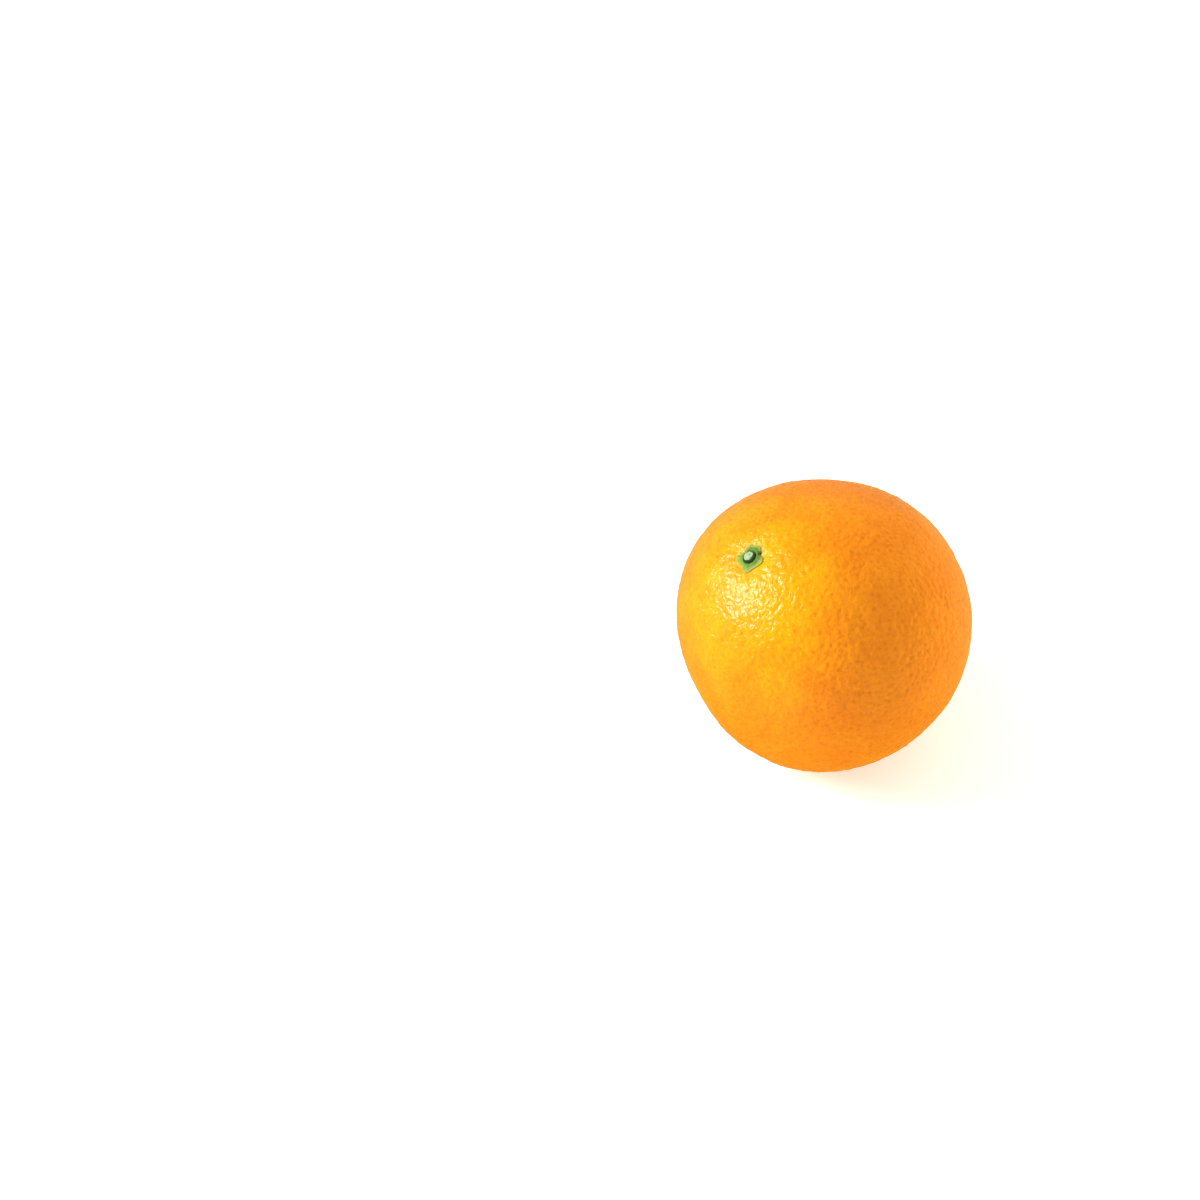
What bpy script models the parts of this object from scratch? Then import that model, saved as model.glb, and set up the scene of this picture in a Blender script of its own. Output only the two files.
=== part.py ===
"""A fresh orange, lying as picked on a small flat spot, with its calyx and clipped stem.

Metres, +Z up. The origin is the middle of the flat spot, on the surface that the fruit rests on.
The fruit's own axis runs from the blossom end to the stem end; it leans by STEM_LEAN from upright.
"""

import math

import bmesh
import bpy
from mathutils import Matrix, Vector

# Fruit: overall size, and how it lies
FRUIT_DIAMETER = 0.0780  # across the middle, square to the stem axis
FRUIT_LENGTH = 0.0770  # stem end to blossom end, before the hollows
STEM_LEAN = math.radians(35.5)  # stem axis from upright
STEM_HEADING = math.radians(200.0)  # where the stem end leans, counter-clockwise from +X
FLAT_SPOT_RADIUS = 0.0065  # where the rind is pressed flat by the fruit's weight

# Fruit: the hollows at its two ends
STEM_HOLLOW_RADIUS = 0.0085
STEM_HOLLOW_DEPTH = 0.0011
BLOSSOM_HOLLOW_RADIUS = 0.0034
BLOSSOM_HOLLOW_DEPTH = 0.0005

# Stem stub
STUB_DIAMETER = 0.0030  # where it passes through the calyx
STUB_TOP_DIAMETER = 0.0028
STUB_RISE = 0.0011  # above the calyx's hub
STUB_ROUNDING = 0.0003

# Calyx: a thin, uneven five-pointed star that lies in the stem hollow
CALYX_HUB_WIDTH = 0.0013  # from the stem's hole out to the notches between lobes
CALYX_LOBES = (  # each lobe's turn about the stem axis in degrees, and its length past the notches
    (48.0, 0.0008),
    (90.0, 0.0011),
    (156.0, 0.0014),
    (246.0, 0.0014),
    (324.0, 0.0011),
)
CALYX_LOBE_SPREAD = 38.0  # degrees from a lobe's tip to where its edge meets the hub
CALYX_HUB_THICKNESS = 0.0008
CALYX_EDGE_THICKNESS = 0.0004

FIT_GAP = 0.0003  # between pieces that touch on the real fruit

# Mesh fineness
FRUIT_SEGMENTS = 56
FRUIT_RINGS = 34
HOLLOW_RINGS = 5
STUB_SEGMENTS = 24
STUB_BEVEL_STEPS = 3
CALYX_STEPS = 60
CALYX_RINGS = 4


def clear_scene():
    for thing in list(bpy.data.objects):
        bpy.data.objects.remove(thing, do_unlink=True)


def add_object(name, mesh_builder, material, parent):
    """One named object whose mesh is what mesh_builder leaves in an empty bmesh."""
    mesh = bpy.data.meshes.new(name)
    builder = bmesh.new()
    mesh_builder(builder)
    bmesh.ops.recalc_face_normals(builder, faces=builder.faces)
    builder.to_mesh(mesh)
    builder.free()
    mesh.shade_smooth()
    mesh.materials.append(material)
    thing = bpy.data.objects.new(name, mesh)
    bpy.context.scene.collection.objects.link(thing)
    thing.parent = parent
    return thing


# ---------------------------------------------------------------- materials


def principled(name, colour, roughness):
    material = bpy.data.materials.new(name)
    material.use_nodes = True
    shader = material.node_tree.nodes["Principled BSDF"]
    shader.inputs["Base Color"].default_value = (*colour, 1.0)
    shader.inputs["Roughness"].default_value = roughness
    shader.inputs["Metallic"].default_value = 0.0
    return material


def rind_material():
    return principled("orange_rind", (0.80, 0.23, 0.015), 0.35)


def calyx_material():
    return principled("green_calyx", (0.26, 0.45, 0.08), 0.60)


def stub_material():
    return principled("cut_stem", (0.52, 0.68, 0.46), 0.75)


# ---------------------------------------------------------------- shape of the rind


def hollow(distance, radius, depth):
    """Depth of a smooth round hollow, at a distance from its middle."""
    if distance >= radius:
        return 0.0
    return depth * math.cos(0.5 * math.pi * distance / radius) ** 2


def rind_height(distance):
    """Height of the stem end's rind above the fruit's centre, at a distance from the stem axis."""
    share = distance / (0.5 * FRUIT_DIAMETER)
    dome = 0.5 * FRUIT_LENGTH * math.sqrt(max(0.0, 1.0 - share * share))
    return dome - hollow(distance, STEM_HOLLOW_RADIUS, STEM_HOLLOW_DEPTH)


def profile_angles():
    """Angles from the stem end to the blossom end, closer together within the stem hollow."""
    edge = math.asin(STEM_HOLLOW_RADIUS / (0.5 * FRUIT_DIAMETER))
    inner = [edge * i / HOLLOW_RINGS for i in range(HOLLOW_RINGS)]
    outer = [edge + (math.pi - edge) * i / FRUIT_RINGS for i in range(FRUIT_RINGS + 1)]
    return inner + outer


def fruit_profile():
    """Half outline in the XZ plane, from the stem end down to the blossom end."""
    points = []
    for angle in profile_angles():
        across = 0.5 * FRUIT_DIAMETER * math.sin(angle)
        along = 0.5 * FRUIT_LENGTH * math.cos(angle)
        if angle < 0.5 * math.pi:
            along -= hollow(across, STEM_HOLLOW_RADIUS, STEM_HOLLOW_DEPTH)
        else:
            along += hollow(across, BLOSSOM_HOLLOW_RADIUS, BLOSSOM_HOLLOW_DEPTH)
        points.append(Vector((across, 0.0, along)))
    return points


# ---------------------------------------------------------------- how the fruit lies


def lean_direction():
    """The stem axis, as a unit vector."""
    flat = math.sin(STEM_LEAN)
    return Vector(
        (flat * math.cos(STEM_HEADING), flat * math.sin(STEM_HEADING), math.cos(STEM_LEAN))
    )


def resting_matrix():
    """Leans the fruit, and sets the middle of its flat spot on the origin.

    The fruit is a slightly flattened ball, an ellipsoid. The plane that cuts off a flat spot of a
    given radius lies at a set share of the way from its centre to its lowest point, and the flat
    spot's middle is on the line between the two.
    """
    axis = lean_direction()
    wide = 0.5 * FRUIT_DIAMETER
    half_length = 0.5 * FRUIT_LENGTH
    down = Vector((0.0, 0.0, -1.0))
    along = axis * down.dot(axis)
    reach = math.hypot(wide * (down - along).length, half_length * along.length)
    lowest = ((down - along) * wide**2 + along * half_length**2) / reach
    share = math.sqrt(1.0 - (FLAT_SPOT_RADIUS / wide) ** 2)
    turn = Vector((0.0, 0.0, 1.0)).rotation_difference(axis).to_matrix().to_4x4()
    return Matrix.Translation(-lowest * share) @ turn


# ---------------------------------------------------------------- pieces


def build_fruit(mesh):
    """The half outline spun about the stem axis, its two ends closed on the axis."""
    verts = [mesh.verts.new(point) for point in fruit_profile()]
    edges = [mesh.edges.new(pair) for pair in zip(verts, verts[1:])]
    bmesh.ops.spin(
        mesh,
        geom=verts + edges,
        cent=(0.0, 0.0, 0.0),
        axis=(0.0, 0.0, 1.0),
        angle=2.0 * math.pi,
        steps=FRUIT_SEGMENTS,
        use_merge=True,
        use_duplicate=False,
    )
    bmesh.ops.remove_doubles(mesh, verts=mesh.verts, dist=1e-6)


def build_surface_below(mesh):
    """A block whose top is the surface that the fruit rests on, at height 0."""
    bmesh.ops.create_cube(mesh, size=1.0)
    bmesh.ops.scale(
        mesh,
        verts=mesh.verts,
        vec=(FRUIT_DIAMETER, FRUIT_DIAMETER, 0.5 * FRUIT_DIAMETER),
    )
    bmesh.ops.translate(mesh, verts=mesh.verts, vec=(0.0, 0.0, -0.25 * FRUIT_DIAMETER))


def calyx_hole_radius():
    return 0.5 * STUB_DIAMETER + FIT_GAP


def calyx_edge_radius(turn):
    """Distance from the stem axis to the star's edge, at a turn in degrees.

    Each lobe rises in a straight-sided point out of the round hub, and the longest wins.
    """
    rise = 0.0
    for lobe_turn, length in CALYX_LOBES:
        away = abs((turn - lobe_turn + 180.0) % 360.0 - 180.0)
        rise = max(rise, length * (1.0 - away / CALYX_LOBE_SPREAD))
    return calyx_hole_radius() + CALYX_HUB_WIDTH + rise


def star_ring(mesh):
    """A flat ring, five-pointed outside and round inside, in rows from the hole to the edge."""
    hole = calyx_hole_radius()
    rows = []
    for row in range(CALYX_RINGS + 1):
        ring = []
        for step in range(CALYX_STEPS):
            turn = 360.0 * step / CALYX_STEPS
            radius = hole + (calyx_edge_radius(turn) - hole) * row / CALYX_RINGS
            spoke = Matrix.Rotation(math.radians(turn), 3, "Z") @ Vector((radius, 0.0, 0.0))
            ring.append(mesh.verts.new(spoke))
        rows.append(ring)
    for inner, outer in zip(rows, rows[1:]):
        for step in range(CALYX_STEPS):
            following = (step + 1) % CALYX_STEPS
            mesh.faces.new((inner[step], outer[step], outer[following], inner[following]))


def build_calyx(mesh):
    """The star laid in the stem hollow, then thickened upwards, thinner towards its tips."""
    star_ring(mesh)
    hole = calyx_hole_radius()
    reach = CALYX_HUB_WIDTH + max(length for _, length in CALYX_LOBES)
    for vert in mesh.verts:
        vert.co.z = rind_height(vert.co.xy.length) + FIT_GAP
    grown = bmesh.ops.extrude_face_region(mesh, geom=mesh.faces[:], use_keep_orig=True)
    for vert in grown["geom"]:
        if isinstance(vert, bmesh.types.BMVert):
            share = (vert.co.xy.length - hole) / reach
            thinning = (CALYX_HUB_THICKNESS - CALYX_EDGE_THICKNESS) * share
            vert.co.z += CALYX_HUB_THICKNESS - thinning


def build_stub(mesh):
    """A short tapered round stem through the calyx, its top edge rounded."""
    foot = rind_height(0.5 * STUB_DIAMETER) + FIT_GAP
    hub_top = rind_height(calyx_hole_radius()) + FIT_GAP + CALYX_HUB_THICKNESS
    height = hub_top + STUB_RISE - foot
    bmesh.ops.create_cone(
        mesh,
        cap_ends=True,
        segments=STUB_SEGMENTS,
        radius1=0.5 * STUB_DIAMETER,
        radius2=0.5 * STUB_TOP_DIAMETER,
        depth=height,
    )
    top_edges = [e for e in mesh.edges if all(v.co.z > 0.0 for v in e.verts)]
    bmesh.ops.bevel(
        mesh,
        geom=top_edges,
        offset=STUB_ROUNDING,
        offset_type="OFFSET",
        segments=STUB_BEVEL_STEPS,
        profile=0.5,
        affect="EDGES",
        clamp_overlap=True,
    )
    bmesh.ops.translate(mesh, verts=mesh.verts, vec=(0.0, 0.0, foot + 0.5 * height))


def flatten_underside(fruit):
    """Cuts the rind level with the surface that it rests on."""
    surface = add_object("surface_below", build_surface_below, rind_material(), None)
    surface.hide_render = True
    surface.display_type = "WIRE"
    cut = fruit.modifiers.new("flat_spot", "BOOLEAN")
    cut.operation = "DIFFERENCE"
    cut.solver = "EXACT"
    cut.object = surface


def main():
    clear_scene()
    stem_axis = bpy.data.objects.new("stem_axis", None)
    bpy.context.scene.collection.objects.link(stem_axis)
    stem_axis.matrix_world = resting_matrix()
    fruit = add_object("fruit", build_fruit, rind_material(), stem_axis)
    flatten_underside(fruit)
    add_object("calyx", build_calyx, calyx_material(), stem_axis)
    add_object("stem_stub", build_stub, stub_material(), stem_axis)
    bpy.context.view_layer.update()


main()
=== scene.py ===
"""A fresh orange on a pale floor: its pitted rind, its green calyx and its cut stem.

Laid out as a Blender add-on and run as a script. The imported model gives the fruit's place, lean
and size.
"""

import math

import bmesh
import bpy
import numpy as np
from bpy.props import (
    FloatProperty,
    FloatVectorProperty,
    IntProperty,
    PointerProperty,
)
from bpy.types import Operator, Panel, PropertyGroup
from mathutils import Matrix, Vector


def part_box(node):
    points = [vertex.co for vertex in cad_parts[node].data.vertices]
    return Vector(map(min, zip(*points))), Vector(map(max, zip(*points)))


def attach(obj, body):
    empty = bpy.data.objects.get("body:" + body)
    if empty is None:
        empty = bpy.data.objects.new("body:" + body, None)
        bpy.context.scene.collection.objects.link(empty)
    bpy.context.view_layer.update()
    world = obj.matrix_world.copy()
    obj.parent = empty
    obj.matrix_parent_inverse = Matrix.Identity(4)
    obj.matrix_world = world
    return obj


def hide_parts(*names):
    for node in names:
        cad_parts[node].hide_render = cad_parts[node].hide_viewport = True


bl_info = {
    "name": "Fresh Orange",
    "version": (1, 0, 0),
    "blender": (4, 5, 0),
    "location": "3D View > Sidebar > Orange",
    "description": "Builds a fresh orange with its calyx and cut stem, on a pale studio floor",
    "category": "Add Mesh",
}

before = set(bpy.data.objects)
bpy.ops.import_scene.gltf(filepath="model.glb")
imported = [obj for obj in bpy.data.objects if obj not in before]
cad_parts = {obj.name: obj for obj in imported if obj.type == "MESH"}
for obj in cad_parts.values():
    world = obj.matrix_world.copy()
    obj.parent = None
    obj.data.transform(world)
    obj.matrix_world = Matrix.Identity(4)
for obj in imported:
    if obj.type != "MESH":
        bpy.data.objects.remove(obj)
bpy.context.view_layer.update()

MM = 0.001
BODY = "root"

# The fruit's own form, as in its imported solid
LENGTH_SHARE = 0.987  # stem end to blossom end, as a share of the diameter
STEM_HOLLOW_RADIUS = 8.5 * MM
STEM_HOLLOW_DEPTH = 1.1 * MM
BLOSSOM_HOLLOW_RADIUS = 3.4 * MM
BLOSSOM_HOLLOW_DEPTH = 0.5 * MM


def linear_colour(code):
    """An sRGB hex colour as three linear values: the standard's straight foot, then its power."""
    parts = [int(code[i : i + 2], 16) / 255 for i in (0, 2, 4)]
    return tuple(p / 12.92 if p <= 0.04045 else ((p + 0.055) / 1.055) ** 2.4 for p in parts)


def resting_fruit():
    """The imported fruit's centre, stem axis, half diameter and half length.

    It is an ellipsoid turned about its stem axis. Its box gives the half width across X, and for a
    unit axis w that half width squared is a² - (a² - c²) w.x², where c is a times LENGTH_SHARE.
    The centre's height follows from the box's top in the same way, once the axis is known, and the
    axis runs from the centre through the stem, so the two settle together in a few rounds.
    """
    low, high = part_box("fruit")
    stem_low, stem_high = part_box("stem_stub")
    stem = 0.5 * (stem_low + stem_high)
    centre = 0.5 * (low + high)
    squash = 1.0 - LENGTH_SHARE**2
    for _ in range(4):
        axis = (stem - centre).normalized()
        radius = 0.5 * (high.x - low.x) / math.sqrt(1.0 - squash * axis.x**2)
        centre.z = high.z - radius * math.sqrt(1.0 - squash * axis.z**2)
    return centre, axis, radius, radius * LENGTH_SHARE


CENTRE, STEM_AXIS, RADIUS, HALF_LENGTH = resting_fruit()

# Turns the fruit's own directions, +Z through the stem end, to where the fruit lies
TO_WORLD = np.array(Vector((0, 0, 1)).rotation_difference(STEM_AXIS).to_matrix())

# The front view's directions: level to the right, back towards the viewer from above, and up
VIEW_ELEVATION = math.radians(44.0)
VIEW_RIGHT = Vector((1.0, 0.0, 0.0))
VIEW_BACK = Vector((0.0, -math.cos(VIEW_ELEVATION), math.sin(VIEW_ELEVATION)))
VIEW_UP = VIEW_BACK.cross(VIEW_RIGHT)

# Where the fruit's rind is yellower, from its centre: the side towards the key light, partly the
# rind's own colour and partly painted light
GOLDEN_LIT_SIDE = Vector((-0.50, -0.45, 0.74)).normalized()


# ---------------------------------------------------------------- settings


class OrangeRindSettings(PropertyGroup):
    glands_per_edge: IntProperty(
        name="Glands per patch edge",
        description="Oil glands along one edge of each of the rind's ten patches",
        default=24,
        min=8,
        max=24,
    )
    pit_depth: FloatProperty(
        name="Pit depth",
        description="How far the rind sinks over a large oil gland",
        default=0.125 * MM,
        unit="LENGTH",
    )
    pit_radius: FloatProperty(
        name="Pit radius",
        description="Radius of a large gland's pit, at a third of its depth",
        default=0.55 * MM,
        unit="LENGTH",
    )
    scatter: FloatProperty(
        name="Scatter",
        description="How far glands stray from even spacing, as a share of that spacing",
        default=0.29,
        subtype="FACTOR",
    )
    unevenness: FloatProperty(
        name="Unevenness",
        description="Typical height of the rind's shallow swellings, about 24 mm apart",
        default=0.08 * MM,
        unit="LENGTH",
    )
    seed: IntProperty(name="Seed", description="Changes the glands' scatter", default=7)
    ripe: FloatVectorProperty(
        name="Ripe",
        description="Main colour of the rind",
        default=linear_colour("E68610"),
        subtype="COLOR",
    )
    # Partly painted light: the yellower side is the one towards the key light
    golden_and_lit: FloatVectorProperty(
        name="Golden",
        description="Yellower rind on the side that ripened last",
        default=linear_colour("F0A000"),
        subtype="COLOR",
    )
    deep: FloatVectorProperty(
        name="Deep",
        description="Redder patches of the rind",
        default=linear_colour("D86C00"),
        subtype="COLOR",
    )
    oil: FloatVectorProperty(
        name="Oil",
        description="Tint that an oil gland gives to the rind above it",
        default=linear_colour("E4CA90"),
        subtype="COLOR",
    )
    scar: FloatVectorProperty(
        name="Scar",
        description="Dry spot at the blossom end",
        default=linear_colour("7A4A22"),
        subtype="COLOR",
    )


class OrangeCalyxSettings(PropertyGroup):
    collar_height: FloatProperty(
        name="Collar height",
        description="Height of the fleshy collar around the stem, above the rind",
        default=0.85 * MM,
        unit="LENGTH",
    )
    lobe_height: FloatProperty(
        name="Lobe height",
        description="Height of the lobes above the rind",
        default=0.40 * MM,
        unit="LENGTH",
    )
    edge_thickness: FloatProperty(
        name="Edge thickness",
        description="Thickness of the lobes at their dry edge",
        default=0.10 * MM,
        unit="LENGTH",
    )
    green: FloatVectorProperty(
        name="Green",
        description="Main colour of the calyx",
        default=linear_colour("72902A"),
        subtype="COLOR",
    )
    # Partly painted shade: the darker green next to the stem stands for the shade that the stem
    # casts on the calyx
    shade: FloatVectorProperty(
        name="Shade",
        description="Darker green next to the stem",
        default=linear_colour("4A7024"),
        subtype="COLOR",
    )
    dry: FloatVectorProperty(
        name="Dry",
        description="Straw colour of the dry lobe edges",
        default=linear_colour("9C962C"),
        subtype="COLOR",
    )
    # A painted shadow: the dark brown green in one notch stands for the shade that falls there
    painted_notch_shadow: FloatVectorProperty(
        name="Painted notch shadow",
        description="Dark brown green of the withered notch between two lobes",
        default=linear_colour("3A3E1C"),
        subtype="COLOR",
    )


class OrangeStemSettings(PropertyGroup):
    cut: FloatVectorProperty(
        name="Cut face",
        description="Pale, slightly green wood of the cut face",
        default=linear_colour("90A47E"),
        subtype="COLOR",
    )
    bundles: FloatVectorProperty(
        name="Bundles",
        description="Darker vessel bundles and pith in the cut face",
        default=linear_colour("3E5A34"),
        subtype="COLOR",
    )
    bark: FloatVectorProperty(
        name="Bark",
        description="Green bark of the stem",
        default=linear_colour("33582A"),
        subtype="COLOR",
    )


class OrangeStageSettings(PropertyGroup):
    floor_colour: FloatVectorProperty(
        name="Floor",
        description="Colour of the studio floor",
        default=linear_colour("F4F3F1"),
        subtype="COLOR",
    )
    key_power: FloatProperty(
        name="Key light",
        description="Power of the large soft light on the left",
        default=15.5,
        unit="POWER",
    )
    back_power: FloatProperty(
        name="Back light",
        description="Power of the weaker light on the right and behind",
        default=13.0,
        unit="POWER",
    )
    sky: FloatProperty(
        name="Surroundings",
        description="Brightness of the white surroundings",
        default=0.86,
    )
    sky_gloss: FloatProperty(
        name="Surroundings in gloss",
        description="Brightness of the surroundings where a glossy surface mirrors them",
        default=0.25,
    )
    lit_floor: FloatVectorProperty(
        name="Lit floor in gloss",
        description="Colour of the lit floor where a glossy surface mirrors it",
        default=linear_colour("E2C48E"),
        subtype="COLOR",
    )
    shaded_floor: FloatVectorProperty(
        name="Shaded floor in gloss",
        description="Colour of the floor close under the fruit where a glossy surface mirrors it",
        default=linear_colour("F3AE45"),
        subtype="COLOR",
    )
    floor_glow: FloatProperty(
        name="Floor glow",
        description="Light that the backlit floor board gives by itself",
        default=0.34,
    )
    glow_colour: FloatVectorProperty(
        name="Glow colour",
        description="Colour of the light from the backlit floor board",
        default=linear_colour("FFFFE1"),
        subtype="COLOR",
    )
    lens: FloatProperty(
        name="Lens",
        description="Focal length of the camera",
        default=85.0,
        unit="CAMERA",
    )


# ---------------------------------------------------------------- meshes


def to_world(points):
    """Turns the fruit's own coordinates, +Z through the stem end, to where the fruit lies."""
    return points @ TO_WORLD.T + np.array(CENTRE)


def hollow(distance, radius, depth):
    """Depth of a smooth round hollow: a squared cosine that reaches zero at its radius."""
    share = np.clip(distance / radius, 0.0, 1.0)
    return depth * np.cos(0.5 * np.pi * share) ** 2


def rind_height(distance):
    """Height of the stem end's rind above the centre: an ellipse less the stem hollow."""
    dome = HALF_LENGTH * np.sqrt(1.0 - (distance / RADIUS) ** 2)
    return dome - hollow(distance, STEM_HOLLOW_RADIUS, STEM_HOLLOW_DEPTH)


def ripples(points, length, count, seed):
    """A smooth random field of spread 1: the sum of plane waves of about one wavelength,
    each with a random direction and phase."""
    draw = np.random.default_rng(seed)
    way = draw.normal(size=(3, count))
    way /= np.linalg.norm(way, axis=0)
    way *= 2.0 * np.pi / (length * draw.uniform(0.75, 1.35, count))
    phase = draw.uniform(0.0, 2.0 * np.pi, count)
    return np.cos(points @ way + phase).sum(-1) * math.sqrt(2.0 / count)


def grid_faces(rows, columns, wrap_rows=False, wrap_columns=False):
    """Quads between neighbouring points of a rows by columns grid, listed by row."""
    index = np.arange(rows * columns).reshape(rows, columns)
    if wrap_rows:
        index = np.vstack([index, index[:1]])
    if wrap_columns:
        index = np.hstack([index, index[:, :1]])
    corners = (index[:-1, :-1], index[1:, :-1], index[1:, 1:], index[:-1, 1:])
    return np.stack(corners, -1).reshape(-1, 4)


def add_piece(name, points, faces, material, node, marks=None, map_places=None):
    """One piece from points and faces: doubles merged, faces outwards, smooth, on the fixed frame.

    marks are named values per point, and map_places are places on the piece's own UV map per point.
    """
    mesh = bpy.data.meshes.new(name)
    mesh.from_pydata(points.reshape(-1, 3), [], faces)
    for mark, values in (marks or {}).items():
        layer = mesh.attributes.new(mark, "FLOAT", "POINT")
        layer.data.foreach_set("value", values.ravel().astype(np.float32))
    if map_places is not None:
        layer = mesh.uv_layers.new(name="OFBake")
        places = map_places.reshape(-1, 2)[faces.ravel()]
        layer.uv.foreach_set("vector", places.astype(np.float32).ravel())
    work = bmesh.new()
    work.from_mesh(mesh)
    bmesh.ops.remove_doubles(work, verts=work.verts, dist=0.001 * MM)
    bmesh.ops.recalc_face_normals(work, faces=work.faces)
    work.to_mesh(mesh)
    work.free()
    mesh.shade_smooth()
    mesh.materials.append(material)
    piece = bpy.data.objects.new(name, mesh)
    bpy.context.scene.collection.objects.link(piece)
    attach(piece, BODY)
    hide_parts(node)
    return piece


# ---------------------------------------------------------------- the rind's surface


PATCHES = 10


def patch_corners():
    """Corners of ten four-sided patches that cover a ball, each two faces of an icosahedron.

    The icosahedron stands on a point: a pole, five points above the middle, five below, a pole.
    """
    height = 1.0 / math.sqrt(5.0)
    across = 2.0 * height
    turns = np.radians(np.arange(5) * 72.0)
    upper = np.stack([across * np.cos(turns), across * np.sin(turns), 0 * turns + height], -1)
    half = turns + math.radians(36.0)
    lower = np.stack([across * np.cos(half), across * np.sin(half), 0 * half - height], -1)
    top = np.tile([0.0, 0.0, 1.0], (5, 1))
    north = (top, upper, np.roll(upper, -1, 0), lower)
    south = (np.roll(upper, -1, 0), lower, np.roll(lower, -1, 0), -top)
    return np.concatenate([np.stack(north, 1), np.stack(south, 1)])


def across_cell(corners, s, t):
    """A place inside a four-sided cell made of two flat triangles that share the B-C side.

    corners are A, B, C and D; s runs from A to B and from C to D, t from A to C and from B to D.
    """
    a, b, c, d = corners
    s, t = s[..., None], t[..., None]
    near = a + s * (b - a) + t * (c - a)
    far = d + (1.0 - s) * (c - d) + (1.0 - t) * (b - d)
    return np.where(s + t <= 1.0, near, far)


def unit(points):
    """Each point divided by its distance from the centre, so it lies on a unit ball."""
    return points / np.linalg.norm(points, axis=-1, keepdims=True)


def gland_lattice(steps):
    """Evenly spread points on a ball, as ten grids of (steps + 1) by (steps + 1) points."""
    corners = patch_corners()[:, :, None, None, :]
    share = np.linspace(0.0, 1.0, steps + 1)
    s, t = np.meshgrid(share, share, indexing="ij")
    return unit(across_cell(np.moveaxis(corners, 1, 0), s, t))


def same_places(points):
    """For points on a unit ball: where each place first comes up, and each point's place number.

    Grids that share an edge share its points, so points are told apart by place.
    """
    near = points.reshape(-1, 3).round(6)
    _, first, shared = np.unique(near, axis=0, return_index=True, return_inverse=True)
    return first, shared.ravel()


def agree(values, shared):
    """Points at one place all take the mean of their values, so grids meet without a gap."""
    mean = np.bincount(shared, values.ravel()) / np.bincount(shared)
    return mean[shared].reshape(values.shape)


def scattered_glands(steps, scatter, draw):
    """The lattice with each point moved sideways, anywhere in a small disc around its own place."""
    lattice = gland_lattice(steps)
    first, shared = same_places(lattice)
    home = lattice.reshape(-1, 3)[first]
    spacing = math.sqrt(4.0 * math.pi / len(home) / math.sin(math.radians(60.0)))
    sideways = unit(np.cross(home, draw.normal(size=home.shape)))
    reach = scatter * spacing * np.sqrt(draw.uniform(size=(len(home), 1)))
    glands = unit(home + sideways * reach)
    return glands[shared].reshape(lattice.shape), shared.reshape(lattice.shape[:3])


FINE_STEPS = 4  # mesh steps from one gland to the next

# The glands' sizes, where 1 is a large one
USUAL_GLAND = 0.78
GLAND_SPREAD = 0.24
SMALLEST_GLAND = 0.25
LARGEST_GLAND = 1.15
DOT_WIDTH = 1.2  # radius of a gland's dot of colour, as a share of a large pit's radius


def rind_grids(settings):
    """The rind as ten grids: where each point lies on a ball, how deep its pits are, and its dots.

    Each gland is a mesh point, and three more points lie between it and the next, so every pit has
    a point at its bottom and rings of points up its sides. A pit's depth falls off from its gland
    as a bell curve of the distance, and each point adds up the pits of its cell's four glands. A
    dot of colour falls off in the same way, and each point takes the strongest of the four. The
    larger its gland, the deeper and wider a pit is, and the stronger its dot.
    """
    draw = np.random.default_rng(settings.seed)
    glands, ids = scattered_glands(settings.glands_per_edge, settings.scatter, draw)
    size = draw.normal(USUAL_GLAND, GLAND_SPREAD, ids.max() + 1)
    size = np.clip(size, SMALLEST_GLAND, LARGEST_GLAND)[ids]
    steps = settings.glands_per_edge * FINE_STEPS
    place = np.arange(steps + 1)
    cell = np.minimum(place // FINE_STEPS, settings.glands_per_edge - 1)
    share = (place - cell * FINE_STEPS) / FINE_STEPS
    s, t = np.meshgrid(share, share, indexing="ij")
    i, j = np.meshgrid(cell, cell, indexing="ij")
    around = [(i, j), (i + 1, j), (i, j + 1), (i + 1, j + 1)]
    points = unit(across_cell([glands[:, a, b] for a, b in around], s, t))
    pits = np.zeros(points.shape[:3])
    dots = np.zeros(points.shape[:3])
    for a, b in around:
        away = RADIUS * np.linalg.norm(points - glands[:, a, b], axis=-1)
        big = size[:, a, b]
        pit_radius = settings.pit_radius * (0.6 + 0.4 * big)
        pits += big**1.5 * np.exp(-((away / pit_radius) ** 2))
        dots = np.maximum(dots, big * np.exp(-((away / (DOT_WIDTH * settings.pit_radius)) ** 2)))
    _, shared = same_places(points)
    return points, agree(pits, shared), agree(dots, shared)


MAP_COLUMNS = 4
MAP_ROWS = 3
MAP_MARGIN = 0.004  # clear edge of each tile, as a share of the whole map


def patch_places(steps):
    """Places on the rind's own map: each patch fills one tile, less a clear margin."""
    share = np.linspace(0.0, 1.0, steps + 1)
    s, t = np.meshgrid(share, share, indexing="ij")
    tile = np.arange(PATCHES)[:, None, None]
    u = MAP_MARGIN + (tile % MAP_COLUMNS) / MAP_COLUMNS + s * (1.0 / MAP_COLUMNS - 2.0 * MAP_MARGIN)
    v = MAP_MARGIN + (tile // MAP_COLUMNS) / MAP_ROWS + t * (1.0 / MAP_ROWS - 2.0 * MAP_MARGIN)
    return np.stack([u, v], -1)


def rind_faces(steps):
    """Two triangles for each cell of each grid, split along the same side as the glands' cells."""
    quads = grid_faces(steps + 1, steps + 1)
    halves = np.concatenate([quads[:, [0, 1, 3]], quads[:, [1, 2, 3]]])
    offsets = np.arange(PATCHES)[:, None, None] * (steps + 1) ** 2
    return (halves[None] + offsets).reshape(-1, 3)


# The fruit's lopsided growth, seen along VIEW_BACK: how many lobes, how high, and turned how far
SWELLINGS = (
    (2, 0.50 * MM, math.radians(-40.8)),
    (3, 0.57 * MM, math.radians(26.6)),
    (4, 0.23 * MM, math.radians(-27.5)),
)


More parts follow.
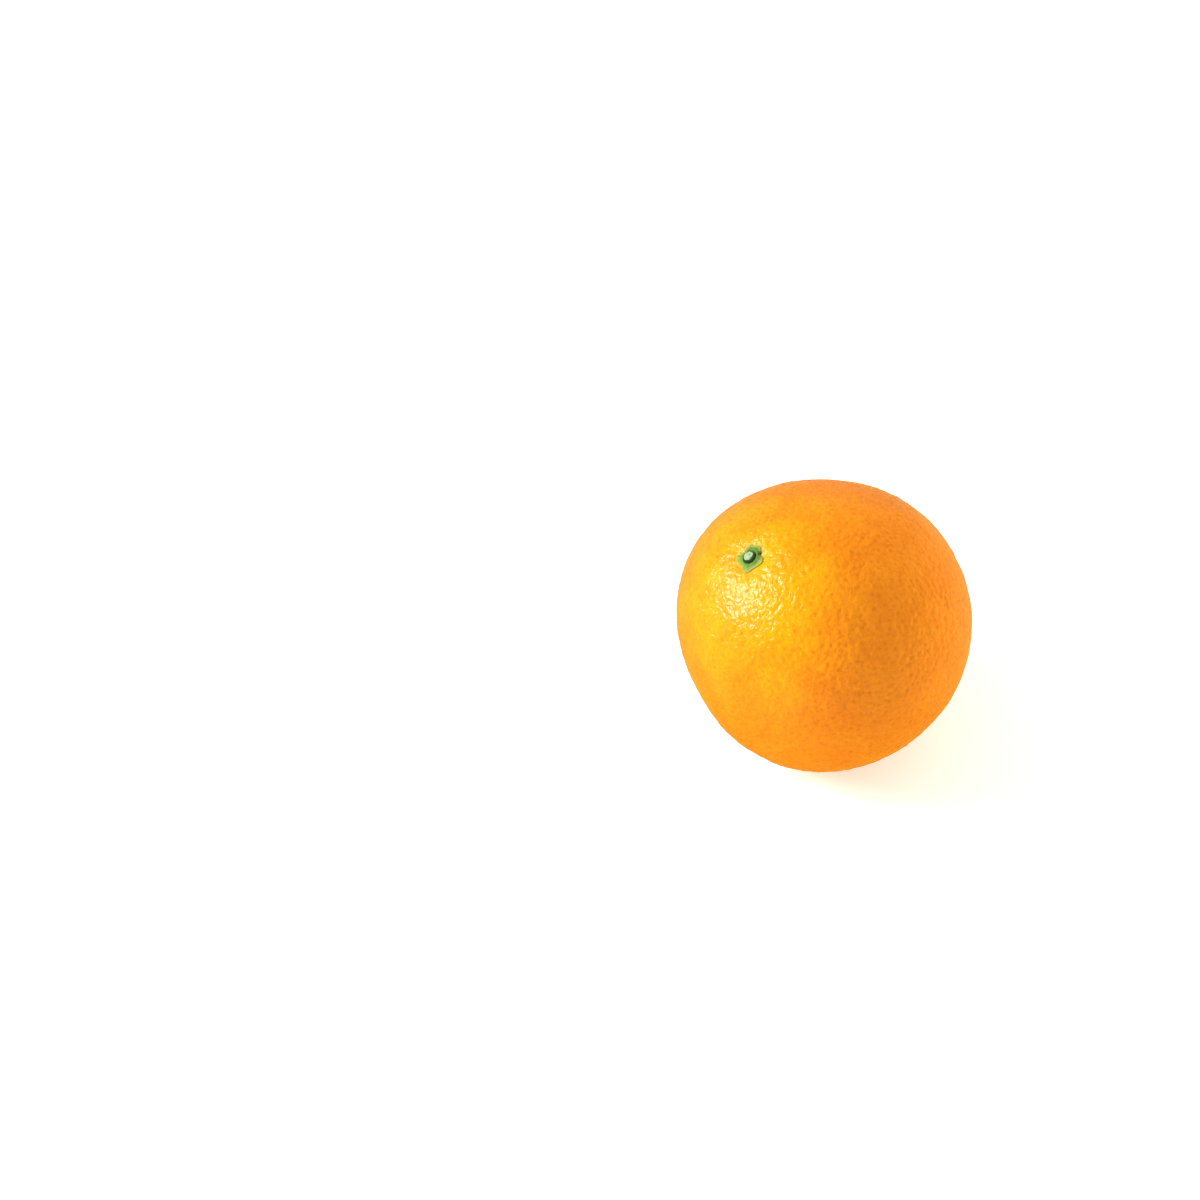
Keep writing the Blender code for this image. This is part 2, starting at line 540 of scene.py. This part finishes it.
def broad_swellings(directions):
    """How far the rind stands out from the ellipsoid: a sum of lobed swellings.

    Each is its height times the cosine of its lobe count times the turn about the viewing axis,
    times the distance from that axis to the power of the count, so it fades out in the middle.
    """
    x = directions @ np.array(VIEW_RIGHT)
    y = directions @ np.array(VIEW_UP)
    place = x + 1j * y
    lobed = [height * (place * np.exp(-1j * turn)) ** lobes for lobes, height, turn in SWELLINGS]
    return sum(lobed).real


# Near the stem the broad swellings level out, and the skin beside the calyx is smoother
LEVEL_RADIUS = 16.0 * MM
SMOOTH_RADIUS = 3.4 * MM
SMOOTH_EDGE = 2.4 * MM  # from the smooth ring to the usual skin
SMOOTH_RELIEF = 0.25  # what is left of the fine relief in the smooth ring

# Ripples: how high, and about how long from crest to crest
BROAD_LENGTH = 24.0 * MM
LUMP_HEIGHT = 0.035 * MM
LUMP_LENGTH = 6.5 * MM
PEBBLE_HEIGHT = 0.038 * MM
PEBBLE_LENGTH = 2.5 * MM

FLOOR_SOFTNESS = 0.06 * MM  # roundness of the edge of the flat spot that the fruit rests on


def fruit_surface(settings):
    """The rind's points, in the world, with their marks.

    A point on a unit ball goes to the ellipsoid, then down into the hollows at its two ends, then
    out or in along its own direction by the broad swellings, the ripples and the glands' pits.
    Last, what would lie below the floor is pressed flat, with a soft edge: a height h becomes half
    of h plus the root of h squared and the softness squared.
    """
    ball, pits, dots = rind_grids(settings)
    across = RADIUS * np.linalg.norm(ball[..., :2], axis=-1)
    points = ball * np.array([RADIUS, RADIUS, HALF_LENGTH])
    points[..., 2] -= np.where(
        ball[..., 2] > 0.0,
        hollow(across, STEM_HOLLOW_RADIUS, STEM_HOLLOW_DEPTH),
        -hollow(across, BLOSSOM_HOLLOW_RADIUS, BLOSSOM_HOLLOW_DEPTH),
    )
    at_stem = ball[..., 2] > 0.0
    near_stem = np.exp(-((across / LEVEL_RADIUS) ** 2)) * at_stem
    past_ring = np.where(at_stem, np.clip((across - SMOOTH_RADIUS) / SMOOTH_EDGE, 0.0, 1.0), 1.0)
    relief = SMOOTH_RELIEF + (1.0 - SMOOTH_RELIEF) * past_ring
    out = broad_swellings(ball @ TO_WORLD.T)
    out -= broad_swellings(np.array(STEM_AXIS)) * near_stem
    out += settings.unevenness * ripples(points, BROAD_LENGTH, 20, seed=3) * (1.0 - near_stem)
    out += LUMP_HEIGHT * ripples(points, LUMP_LENGTH, 40, seed=4) * relief
    out += PEBBLE_HEIGHT * ripples(points, PEBBLE_LENGTH, 60, seed=5) * relief
    out -= settings.pit_depth * pits * relief
    points = to_world(points + out[..., None] * ball)
    height = points[..., 2]
    points[..., 2] = 0.5 * (height + np.sqrt(height**2 + FLOOR_SOFTNESS**2))
    return points, {"pore": np.clip(dots * relief, 0.0, 1.0)}


# ---------------------------------------------------------------- calyx and stem


# The calyx's uneven star: turn about the stem axis in degrees, and distance from the axis.
# Tips and notches take turns.
CALYX_OUTLINE = (
    (46.0, 3.85 * MM),
    (66.0, 3.55 * MM),
    (88.0, 4.15 * MM),
    (124.0, 3.10 * MM),
    (154.0, 4.40 * MM),
    (205.0, 3.20 * MM),
    (244.0, 4.45 * MM),
    (280.0, 3.45 * MM),
    (324.0, 4.20 * MM),
    (355.0, 2.75 * MM),
)
CALYX_COLUMNS = 220
CALYX_ROWS = 26
CALYX_DEPTH = 0.12 * MM  # of its underside below the rind
STEM_RADIUS = 1.52 * MM
STEM_OVERLAP = 0.1 * MM  # how far the calyx reaches into the stem
COLLAR_RADIUS = 2.15 * MM
COLLAR_WIDTH = 0.5 * MM  # from its crest to where little is left of it
GROOVE_WIDTH = 0.35 * MM  # of the groove between the stem and the collar
RIB_HEIGHT = 0.10 * MM  # of the rib along the middle of each lobe
RIB_WIDTH = 0.14  # from its crest, in radians about the stem axis
WRINKLE_HEIGHT = 0.035 * MM
WRINKLE_LENGTH = 0.9 * MM
RAGGED_DEPTH = 0.05 * MM  # of the small irregularities along the calyx's edge
RAGGED_LENGTH = 1.1 * MM
EDGE_LIFT = 0.10 * MM  # how far the dry edge curls up
PAINTED_SHADOW_TURN = math.radians(2.0)  # the notch that holds a painted shadow
PAINTED_SHADOW_WIDTH = 0.30  # in radians about the stem axis


def calyx_edge(turns):
    """Distance from the stem axis to the calyx's edge: straight runs between tips and notches."""
    at, reach = np.array(CALYX_OUTLINE).T
    return np.interp(np.degrees(turns) % 360.0, at, reach, period=360.0)


def turn_between(turns, others):
    """The smaller turn between two directions about the stem axis, in radians."""
    return np.abs((turns - others + np.pi) % (2.0 * np.pi) - np.pi)


def calyx_surface(settings):
    """A thin star: rows run out over the top, round the edge and back in underneath.

    Seen along the stem axis, a row is a share of the way from the stem to the star's edge. The top
    stands above the rind by the lobe's height, which thins to the edge, plus a round collar, a low
    rib along each lobe and small wrinkles. The underside lies just inside the rind, and the edge
    curls up. The painted shadow in one notch is a bell curve of the turn from that notch, and
    starts halfway out.
    """
    turns = np.linspace(0.0, 2.0 * np.pi, CALYX_COLUMNS, endpoint=False)[:, None]
    out = np.linspace(0.0, 1.0, CALYX_ROWS)[None, :] ** 0.9
    inner = STEM_RADIUS - STEM_OVERLAP
    edge = calyx_edge(turns)
    rim = np.stack([edge * np.cos(turns), edge * np.sin(turns), 0 * edge], -1)
    edge = edge + RAGGED_DEPTH * ripples(rim, RAGGED_LENGTH, 12, seed=21)
    distance = inner + (edge - inner) * out
    flat = np.stack([distance * np.cos(turns), distance * np.sin(turns), 0 * distance], -1)
    tips = np.radians([at for at, _ in CALYX_OUTLINE[::2]])
    from_tip = turn_between(turns[..., None], tips).min(-1)
    rib = np.exp(-((from_tip / RIB_WIDTH) ** 2)) * np.sin(np.pi * out)
    collar = np.exp(-(((distance - COLLAR_RADIUS) / COLLAR_WIDTH) ** 2))
    groove = 1.0 - np.exp(-(((distance - inner) / GROOVE_WIDTH) ** 2))
    wrinkles = ripples(flat, WRINKLE_LENGTH, 30, seed=22) * (1.0 - 0.6 * out)
    top = settings.edge_thickness + settings.lobe_height * (1.0 - out**1.6)
    top = top * groove + (settings.collar_height - settings.lobe_height) * collar
    top += RIB_HEIGHT * rib + WRINKLE_HEIGHT * wrinkles
    lift = EDGE_LIFT * out**4
    base = rind_height(distance)
    upper = flat + [0.0, 0.0, 1.0] * (base + top + lift)[..., None]
    lower = flat + [0.0, 0.0, 1.0] * (base - CALYX_DEPTH + 0.5 * lift)[..., None]
    loop = np.concatenate([upper, lower[:, ::-1]], axis=1)
    outward = out + 0 * turns
    # Painted shadow in one notch, from halfway out to the edge
    in_notch = np.exp(-((turn_between(turns, PAINTED_SHADOW_TURN) / PAINTED_SHADOW_WIDTH) ** 2))
    painted_notch_shadow = in_notch * np.clip((outward - 0.45) / 0.3, 0.0, 1.0)
    marks = {"outward": outward, "painted_notch_shadow": painted_notch_shadow}
    return to_world(loop), {
        mark: np.concatenate([values, values[:, ::-1]], axis=1) for mark, values in marks.items()
    }


STEM_COLUMNS = 96
STEM_ROWS = 40
STEM_SIDE_SHARE = 0.35  # of the rows, on the stem's side
STEM_FOOT_DEPTH = 0.2 * MM  # below the rind
STEM_TAPER = 0.12 * MM
STEM_RIM = 0.22 * MM  # height of the rounded rim
STEM_TOP = 0.52 * MM  # of the cut face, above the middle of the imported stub
STEM_OVAL = 0.05  # of its two low lobes, as a share of its radius
STEM_RIDGES = 0.03  # of its five lower ones
CUT_SLOPE_X = 0.07
CUT_SLOPE_Y = -0.05
SAWN_HEIGHT = 0.03 * MM  # of the small unevenness of the cut face
SAWN_LENGTH = 0.7 * MM


def stem_surface(top_height):
    """A short stem turned about its axis: up the side, over a rounded rim and across a cut face.

    Over the cut, the height squared and the eighth power of the distance from the axis add up to a
    constant, which rounds the rim and leaves the middle level. Two and five low lobes, cosines of
    the turn, make the stem slightly out of round. The cut face tilts and is a little uneven, and
    the foot closes on the axis.
    """
    turns = np.linspace(0.0, 2.0 * np.pi, STEM_COLUMNS, endpoint=False)[:, None]
    way = np.linspace(0.0, 1.0, STEM_ROWS)[None, :]
    side = np.minimum(way / STEM_SIDE_SHARE, 1.0)
    face = np.clip((way - STEM_SIDE_SHARE) / (1.0 - STEM_SIDE_SHARE), 0.0, 1.0)
    foot = rind_height(STEM_RADIUS) - STEM_FOOT_DEPTH
    distance = (STEM_RADIUS - STEM_TAPER * side) * (1.0 - face) * (way > 0.0)
    rounding = STEM_RIM * np.sqrt(1.0 - (1.0 - face) ** 8)
    height = foot + (top_height - STEM_RIM - foot) * side + rounding
    wobble = 1.0 + STEM_OVAL * np.cos(2.0 * turns + 0.7) + STEM_RIDGES * np.cos(5.0 * turns)
    x = distance * wobble * np.cos(turns)
    y = distance * wobble * np.sin(turns)
    flat = np.stack([x, y, 0 * x], -1)
    tilt = CUT_SLOPE_X * x + CUT_SLOPE_Y * y
    sawn = SAWN_HEIGHT * ripples(flat, SAWN_LENGTH, 24, seed=31)
    height = height + (tilt + sawn) * side
    points = np.stack([x, y, height + 0 * x], -1)
    return to_world(points), {"cut": face + 0 * turns}


# ---------------------------------------------------------------- materials


def add_node(tree, kind, inputs=None, **settings):
    """One node with its settings, its input values and its links."""
    node = tree.nodes.new(kind)
    for name, value in settings.items():
        setattr(node, name, value)
    for socket, value in (inputs or {}).items():
        if isinstance(value, bpy.types.NodeSocket):
            tree.links.new(value, node.inputs[socket])
        else:
            node.inputs[socket].default_value = value
    return node


def new_material(name):
    """An empty node material, and its node tree."""
    material = bpy.data.materials.new(name)
    material.use_nodes = True
    tree = material.node_tree
    tree.nodes.clear()
    return material, tree


def rgba(colour):
    """A colour with full alpha, as a node's socket takes it."""
    return (*colour, 1.0)


# A Mix node has sockets for numbers, vectors and colours under the same names, so its factor, its
# two colours and its colour result are picked by their places
FACTOR, FIRST, SECOND = 0, 6, 7
MIXED = 2


def rind_material(settings):
    """Orange peel: a thin waxy skin over oil glands. The wax gives a soft sheen broken up by the
    peel's fine pebbling, and each gland shows as a slightly darker, redder dot."""
    material, tree = new_material("waxy_orange_peel")
    place = add_node(tree, "ShaderNodeTexCoord").outputs["Object"]
    pore = add_node(tree, "ShaderNodeAttribute", attribute_name="pore").outputs["Fac"]
    blossom = CENTRE - STEM_AXIS * (HALF_LENGTH - BLOSSOM_HOLLOW_DEPTH)

    # One side, the one towards the key light, is yellower, partly the rind's own colour and partly
    # painted light: a round patch whose edge is broken up by soft clouds of about 15 mm
    from_golden_and_lit = add_node(
        tree,
        "ShaderNodeVectorMath",
        {0: place, 1: CENTRE + GOLDEN_LIT_SIDE * RADIUS},
        operation="DISTANCE",
    ).outputs["Value"]
    clouds = add_node(
        tree,
        "ShaderNodeTexNoise",
        {"Vector": place, "Scale": 1 / (15 * MM), "Detail": 3.0, "Roughness": 0.55},
    ).outputs["Fac"]
    uneven_edge = add_node(
        tree,
        "ShaderNodeMath",
        {0: clouds, 1: 14 * MM, 2: from_golden_and_lit},
        operation="MULTIPLY_ADD",
    ).outputs["Value"]
    golden_and_lit = add_node(
        tree,
        "ShaderNodeMapRange",
        {
            "Value": uneven_edge,
            "From Min": 18 * MM,
            "From Max": 42 * MM,
            "To Min": 1.0,
            "To Max": 0.0,
        },
        interpolation_type="SMOOTHSTEP",
    ).outputs["Result"]
    base = add_node(
        tree,
        "ShaderNodeMix",
        {FACTOR: golden_and_lit, FIRST: rgba(settings.ripe), SECOND: rgba(settings.golden_and_lit)},
        data_type="RGBA",
    ).outputs[MIXED]
    cloud_share = add_node(
        tree,
        "ShaderNodeMapRange",
        {"Value": clouds, "From Min": 0.38, "From Max": 0.68, "To Min": 0.0, "To Max": 0.38},
    ).outputs["Result"]
    base = add_node(
        tree,
        "ShaderNodeMix",
        {FACTOR: cloud_share, FIRST: base, SECOND: rgba(settings.deep)},
        data_type="RGBA",
    ).outputs[MIXED]

    # Fine mottling of the skin between glands, about 1.2 mm
    mottle = add_node(
        tree,
        "ShaderNodeTexNoise",
        {"Vector": place, "Scale": 1 / (1.2 * MM), "Detail": 2.0, "Roughness": 0.6},
    ).outputs["Fac"]
    dots = add_node(
        tree,
        "ShaderNodeMapRange",
        {"Value": pore, "From Min": 0.10, "From Max": 0.90, "To Min": 0.0, "To Max": 0.50},
        interpolation_type="SMOOTHSTEP",
    ).outputs["Result"]
    mottle_share = add_node(
        tree,
        "ShaderNodeMapRange",
        {"Value": mottle, "From Min": 0.40, "From Max": 0.70, "To Min": 0.0, "To Max": 0.38},
    ).outputs["Result"]
    shade = add_node(
        tree,
        "ShaderNodeMath",
        {0: dots, 1: mottle_share},
        operation="MAXIMUM",
    ).outputs["Value"]
    base = add_node(
        tree,
        "ShaderNodeMix",
        {FACTOR: shade, FIRST: base, SECOND: rgba(settings.oil)},
        data_type="RGBA",
        blend_type="MULTIPLY",
    ).outputs[MIXED]

    # Dry scar in the middle of the blossom end, about 1 mm across
    from_blossom = add_node(
        tree,
        "ShaderNodeVectorMath",
        {0: place, 1: blossom},
        operation="DISTANCE",
    ).outputs["Value"]
    scar = add_node(
        tree,
        "ShaderNodeMapRange",
        {
            "Value": from_blossom,
            "From Min": 0.5 * MM,
            "From Max": 1.0 * MM,
            "To Min": 0.9,
            "To Max": 0.0,
        },
        interpolation_type="SMOOTHSTEP",
    ).outputs["Result"]
    base = add_node(
        tree,
        "ShaderNodeMix",
        {FACTOR: scar, FIRST: base, SECOND: rgba(settings.scar)},
        data_type="RGBA",
    ).outputs[MIXED]

    # Pebbling about 1.3 mm across, with finer grain down to about 0.3 mm
    pebbles = add_node(
        tree,
        "ShaderNodeTexNoise",
        {
            "Vector": place,
            "Scale": 1 / (1.3 * MM),
            "Detail": 2.5,
            "Roughness": 0.5,
            "Distortion": 0.3,
        },
    ).outputs["Fac"]
    bump = add_node(
        tree,
        "ShaderNodeBump",
        {"Height": pebbles, "Strength": 1.0, "Distance": 0.42 * MM},
    ).outputs["Normal"]
    roughness = add_node(
        tree,
        "ShaderNodeMapRange",
        {"Value": mottle, "From Min": 0.3, "From Max": 0.8, "To Min": 0.14, "To Max": 0.22},
    ).outputs["Result"]
    skin = add_node(
        tree,
        "ShaderNodeBsdfPrincipled",
        {
            "Base Color": base,
            "Roughness": roughness,
            "IOR": 1.36,
            "Normal": bump,
            "Subsurface Weight": 0.12,
            "Subsurface Radius": (1.0, 0.35, 0.08),
            "Subsurface Scale": 1.2 * MM,
        },
    )
    add_node(tree, "ShaderNodeOutputMaterial", {"Surface": skin.outputs["BSDF"]})
    return material


def calyx_material(settings):
    """Green calyx: living tissue next to the stem, drying to straw at the lobes' thin edges. Next
    to the stem the green is darker, partly painted shade, and one notch holds a painted shadow.
    """
    material, tree = new_material("green_calyx_leaf")
    place = add_node(tree, "ShaderNodeTexCoord").outputs["Object"]
    outward = add_node(tree, "ShaderNodeAttribute", attribute_name="outward").outputs["Fac"]
    grain = add_node(
        tree,
        "ShaderNodeTexNoise",
        {"Vector": place, "Scale": 1 / (0.9 * MM), "Detail": 3.0, "Roughness": 0.6},
    ).outputs["Fac"]
    unevenly = add_node(
        tree,
        "ShaderNodeMath",
        {0: grain, 1: 0.5, 2: outward},
        operation="MULTIPLY_ADD",
    ).outputs["Value"]
    # Darker green next to the stem, partly painted shade from the stem
    shade = add_node(
        tree,
        "ShaderNodeMapRange",
        {"Value": unevenly, "From Min": 0.30, "From Max": 1.0, "To Min": 0.0, "To Max": 1.0},
    ).outputs["Result"]
    dry = add_node(
        tree,
        "ShaderNodeMapRange",
        {"Value": unevenly, "From Min": 0.95, "From Max": 1.30, "To Min": 0.0, "To Max": 1.0},
    ).outputs["Result"]
    colour = add_node(
        tree,
        "ShaderNodeMix",
        {FACTOR: shade, FIRST: rgba(settings.shade), SECOND: rgba(settings.green)},
        data_type="RGBA",
    ).outputs[MIXED]
    colour = add_node(
        tree,
        "ShaderNodeMix",
        {FACTOR: dry, FIRST: colour, SECOND: rgba(settings.dry)},
        data_type="RGBA",
    ).outputs[MIXED]
    # Painted shadow: one notch darkened to a dark brown green
    painted_notch_shadow = add_node(tree, "ShaderNodeAttribute", attribute_name="painted_notch_shadow").outputs["Fac"]
    colour = add_node(
        tree,
        "ShaderNodeMix",
        {FACTOR: painted_notch_shadow, FIRST: colour, SECOND: rgba(settings.painted_notch_shadow)},
        data_type="RGBA",
    ).outputs[MIXED]
    bump = add_node(
        tree,
        "ShaderNodeBump",
        {"Height": grain, "Strength": 1.0, "Distance": 0.08 * MM},
    ).outputs["Normal"]
    leaf = add_node(
        tree,
        "ShaderNodeBsdfPrincipled",
        {
            "Base Color": colour,
            "Roughness": 0.55,
            "Specular IOR Level": 0.3,
            "Normal": bump,
        },
    )
    add_node(tree, "ShaderNodeOutputMaterial", {"Surface": leaf.outputs["BSDF"]})
    return material


def stem_material(settings):
    """Freshly cut green stem: pale damp wood with a few darker vessel bundles, in green bark."""
    material, tree = new_material("cut_green_stem")
    place = add_node(tree, "ShaderNodeTexCoord").outputs["Object"]
    cut = add_node(tree, "ShaderNodeAttribute", attribute_name="cut").outputs["Fac"]
    bundles = add_node(
        tree,
        "ShaderNodeTexVoronoi",
        {"Vector": place, "Scale": 1 / (0.8 * MM), "Randomness": 0.9},
    ).outputs["Distance"]
    spots = add_node(
        tree,
        "ShaderNodeMapRange",
        {"Value": bundles, "From Min": 0.15, "From Max": 0.55, "To Min": 0.95, "To Max": 0.0},
        interpolation_type="SMOOTHSTEP",
    ).outputs["Result"]
    colour = add_node(
        tree,
        "ShaderNodeMix",
        {FACTOR: spots, FIRST: rgba(settings.cut), SECOND: rgba(settings.bundles)},
        data_type="RGBA",
    ).outputs[MIXED]
    barked = add_node(
        tree,
        "ShaderNodeMapRange",
        {"Value": cut, "From Min": 0.02, "From Max": 0.12, "To Min": 1.0, "To Max": 0.0},
    ).outputs["Result"]
    colour = add_node(
        tree,
        "ShaderNodeMix",
        {FACTOR: barked, FIRST: colour, SECOND: rgba(settings.bark)},
        data_type="RGBA",
    ).outputs[MIXED]
    grain = add_node(
        tree,
        "ShaderNodeTexNoise",
        {"Vector": place, "Scale": 1 / (0.3 * MM), "Detail": 2.0},
    ).outputs["Fac"]
    bump = add_node(
        tree,
        "ShaderNodeBump",
        {"Height": grain, "Strength": 1.0, "Distance": 0.03 * MM},
    ).outputs["Normal"]
    wood = add_node(
        tree,
        "ShaderNodeBsdfPrincipled",
        {"Base Color": colour, "Roughness": 0.6, "IOR": 1.45, "Normal": bump},
    )
    add_node(tree, "ShaderNodeOutputMaterial", {"Surface": wood.outputs["BSDF"]})
    return material


def floor_material(settings):
    """Matt white acrylic board, lit a little from behind, so the shadows on it stay pale."""
    material, tree = new_material("backlit_white_board")
    board = add_node(
        tree,
        "ShaderNodeBsdfPrincipled",
        {
            "Base Color": rgba(settings.floor_colour),
            "Roughness": 0.9,
            "Specular IOR Level": 0.1,
            "Emission Color": rgba(settings.glow_colour),
            "Emission Strength": settings.floor_glow,
        },
    )
    add_node(tree, "ShaderNodeOutputMaterial", {"Surface": board.outputs["BSDF"]})
    return material


# ---------------------------------------------------------------- stage


CAMERA_DEPTH = 748.8 * MM  # from the camera to the fruit's centre, along the view
AIM_LEFT = 59.0 * MM  # the camera looks past the fruit's centre, to its left and slightly above
AIM_ABOVE = 6.2 * MM
FLOOR_SIZE = 8.0
FLOOR_POINTS = 9  # along each side

# Each light's direction from the fruit's centre, distance, side and colour
KEY_DIRECTION = (-0.88, 0.02, 0.48)
KEY_DISTANCE = 1.1
KEY_SIDE = 0.48
KEY_COLOUR = (1.0, 0.99, 0.97)
BACK_DIRECTION = (0.90, 0.42, 0.12)
BACK_DISTANCE = 1.3
BACK_SIDE = 0.40
BACK_COLOUR = (1.0, 1.0, 1.0)
SKY_COLOUR = (1.0, 1.0, 1.0)

# What gloss mirrors changes with the height of the direction, from -1 straight down to 0 level
LIT_FLOOR_STARTS = -0.85
LIT_FLOOR_FULL = -0.50
ROOM_STARTS = -0.45
ROOM_FULL = -0.10


def add_camera(settings):
    """A camera in front of the fruit, looking down at it, with its sides kept level."""
    data = bpy.data.cameras.new("camera")
    data.lens = settings.lens
    data.sensor_width = 36.0
    data.clip_start = 0.01
    data.clip_end = 50.0
    camera = bpy.data.objects.new("camera", data)
    spot = CENTRE - VIEW_RIGHT * AIM_LEFT + VIEW_UP * AIM_ABOVE + VIEW_BACK * CAMERA_DEPTH
    turn = Matrix((VIEW_RIGHT, VIEW_UP, VIEW_BACK)).transposed()
    camera.matrix_world = Matrix.Translation(spot) @ turn.to_4x4()
    bpy.context.scene.collection.objects.link(camera)
    bpy.context.scene.camera = camera


def add_light(name, direction, distance, side, power, colour):
    """A square soft light that faces the fruit from one direction."""
    data = bpy.data.lights.new(name, "AREA")
    data.shape = "SQUARE"
    data.size = side
    data.energy = power
    data.color = colour
    light = bpy.data.objects.new(name, data)
    away = Vector(direction).normalized()
    turn = away.to_track_quat("Z", "Y").to_matrix().to_4x4()
    light.matrix_world = Matrix.Translation(CENTRE + away * distance) @ turn
    light.visible_camera = False
    bpy.context.scene.collection.objects.link(light)
    return light


def add_floor(settings):
    """A flat square grid at the height that the fruit rests on."""
    side = np.linspace(-0.5 * FLOOR_SIZE, 0.5 * FLOOR_SIZE, FLOOR_POINTS)
    x, y = np.meshgrid(side, side)
    points = np.stack([x, y, 0 * x], -1)
    mesh = bpy.data.meshes.new("floor")
    mesh.from_pydata(points.reshape(-1, 3), [], grid_faces(FLOOR_POINTS, FLOOR_POINTS)[:, ::-1])
    mesh.materials.append(floor_material(settings))
    floor = bpy.data.objects.new("floor", mesh)
    bpy.context.scene.collection.objects.link(floor)
    floor.visible_glossy = False  # gloss sees the surroundings' own floor colours instead


def add_surroundings(settings):
    """Even white light from all round, as in a white studio.

    Gloss sees a dimmer room above, and below it the lit floor, which turns orange right under the
    fruit.
    """
    world = bpy.data.worlds.new("white_studio")
    world.use_nodes = True
    tree = world.node_tree
    tree.nodes.clear()
    direction = add_node(tree, "ShaderNodeTexCoord").outputs["Generated"]
    height = add_node(tree, "ShaderNodeSeparateXYZ", {"Vector": direction}).outputs["Z"]
    farther = add_node(
        tree,
        "ShaderNodeMapRange",
        {"Value": height, "From Min": LIT_FLOOR_STARTS, "From Max": LIT_FLOOR_FULL},
    ).outputs["Result"]
    mirrored = add_node(
        tree,
        "ShaderNodeMix",
        {FACTOR: farther, FIRST: rgba(settings.shaded_floor), SECOND: rgba(settings.lit_floor)},
        data_type="RGBA",
    ).outputs[MIXED]
    above = add_node(
        tree,
        "ShaderNodeMapRange",
        {"Value": height, "From Min": ROOM_STARTS, "From Max": ROOM_FULL},
    ).outputs["Result"]
    mirrored = add_node(
        tree,
        "ShaderNodeMix",
        {FACTOR: above, FIRST: mirrored, SECOND: rgba([settings.sky_gloss] * 3)},
        data_type="RGBA",
    ).outputs[MIXED]
    in_gloss = add_node(tree, "ShaderNodeBackground", {"Color": mirrored}).outputs["Background"]
    all_round = add_node(
        tree,
        "ShaderNodeBackground",
        {"Color": rgba(SKY_COLOUR), "Strength": settings.sky},
    ).outputs["Background"]
    rays = add_node(tree, "ShaderNodeLightPath").outputs["Is Glossy Ray"]
    light = add_node(tree, "ShaderNodeMixShader", {0: rays, 1: all_round, 2: in_gloss})
    add_node(tree, "ShaderNodeOutputWorld", {"Surface": light.outputs["Shader"]})
    bpy.context.scene.world = world


# ---------------------------------------------------------------- operators


class ORANGE_OT_rind(Operator):
    """Build the fruit with its pitted rind"""

    bl_idname = "orange.rind"
    bl_label = "Build Fruit"

    def execute(self, context):
        settings = context.scene.orange_rind
        steps = settings.glands_per_edge * FINE_STEPS
        points, marks = fruit_surface(settings)
        add_piece(
            "orange_fruit",
            points,
            rind_faces(steps),
            rind_material(settings),
            "fruit",
            marks,
            patch_places(steps),
        )
        return {"FINISHED"}


class ORANGE_OT_calyx(Operator):
    """Build the green five-lobed calyx in the stem hollow"""

    bl_idname = "orange.calyx"
    bl_label = "Build Calyx"

    def execute(self, context):
        settings = context.scene.orange_calyx
        points, marks = calyx_surface(settings)
        faces = grid_faces(*points.shape[:2], wrap_rows=True, wrap_columns=True)
        material = calyx_material(settings)
        add_piece("calyx_star", points, faces, material, "calyx", marks)
        return {"FINISHED"}


class ORANGE_OT_stem(Operator):
    """Build the short cut stem that stands in the calyx"""

    bl_idname = "orange.stem"
    bl_label = "Build Stem"

    def execute(self, context):
        low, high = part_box("stem_stub")
        reach = (0.5 * (low + high) - CENTRE).dot(STEM_AXIS)
        points, marks = stem_surface(reach + STEM_TOP)
        faces = grid_faces(*points.shape[:2], wrap_rows=True)
        material = stem_material(context.scene.orange_stem)
        add_piece("cut_stem", points, faces, material, "stem_stub", marks)
        return {"FINISHED"}


class ORANGE_OT_stage(Operator):
    """Set up the floor, the lights and the camera"""

    bl_idname = "orange.stage"
    bl_label = "Set Up Stage"

    def execute(self, context):
        settings = context.scene.orange_stage
        add_surroundings(settings)
        add_floor(settings)
        power = settings.key_power
        add_light("key_light", KEY_DIRECTION, KEY_DISTANCE, KEY_SIDE, power, KEY_COLOUR)
        power = settings.back_power
        back = add_light("back_light", BACK_DIRECTION, BACK_DISTANCE, BACK_SIDE, power, BACK_COLOUR)
        back.visible_glossy = False  # so that the rind has one highlight, the key light's
        add_camera(settings)
        context.scene.view_settings.view_transform = "Standard"
        return {"FINISHED"}


class ORANGE_PT_panel(Panel):
    bl_label = "Fresh Orange"
    bl_idname = "ORANGE_PT_panel"
    bl_space_type = "VIEW_3D"
    bl_region_type = "UI"
    bl_category = "Orange"

    def draw(self, context):
        for operator in OPERATORS:
            self.layout.operator(operator.bl_idname)


SETTINGS = {
    "orange_rind": OrangeRindSettings,
    "orange_calyx": OrangeCalyxSettings,
    "orange_stem": OrangeStemSettings,
    "orange_stage": OrangeStageSettings,
}
OPERATORS = (ORANGE_OT_rind, ORANGE_OT_calyx, ORANGE_OT_stem, ORANGE_OT_stage)
CLASSES = (*SETTINGS.values(), *OPERATORS, ORANGE_PT_panel)


def register():
    for cls in CLASSES:
        bpy.utils.register_class(cls)
    for name, group in SETTINGS.items():
        setattr(bpy.types.Scene, name, PointerProperty(type=group))


def unregister():
    for name in SETTINGS:
        delattr(bpy.types.Scene, name)
    for cls in reversed(CLASSES):
        bpy.utils.unregister_class(cls)


def main():
    register()
    bpy.ops.orange.rind()
    bpy.ops.orange.calyx()
    bpy.ops.orange.stem()
    bpy.ops.orange.stage()


if __name__ == "__main__":
    main()
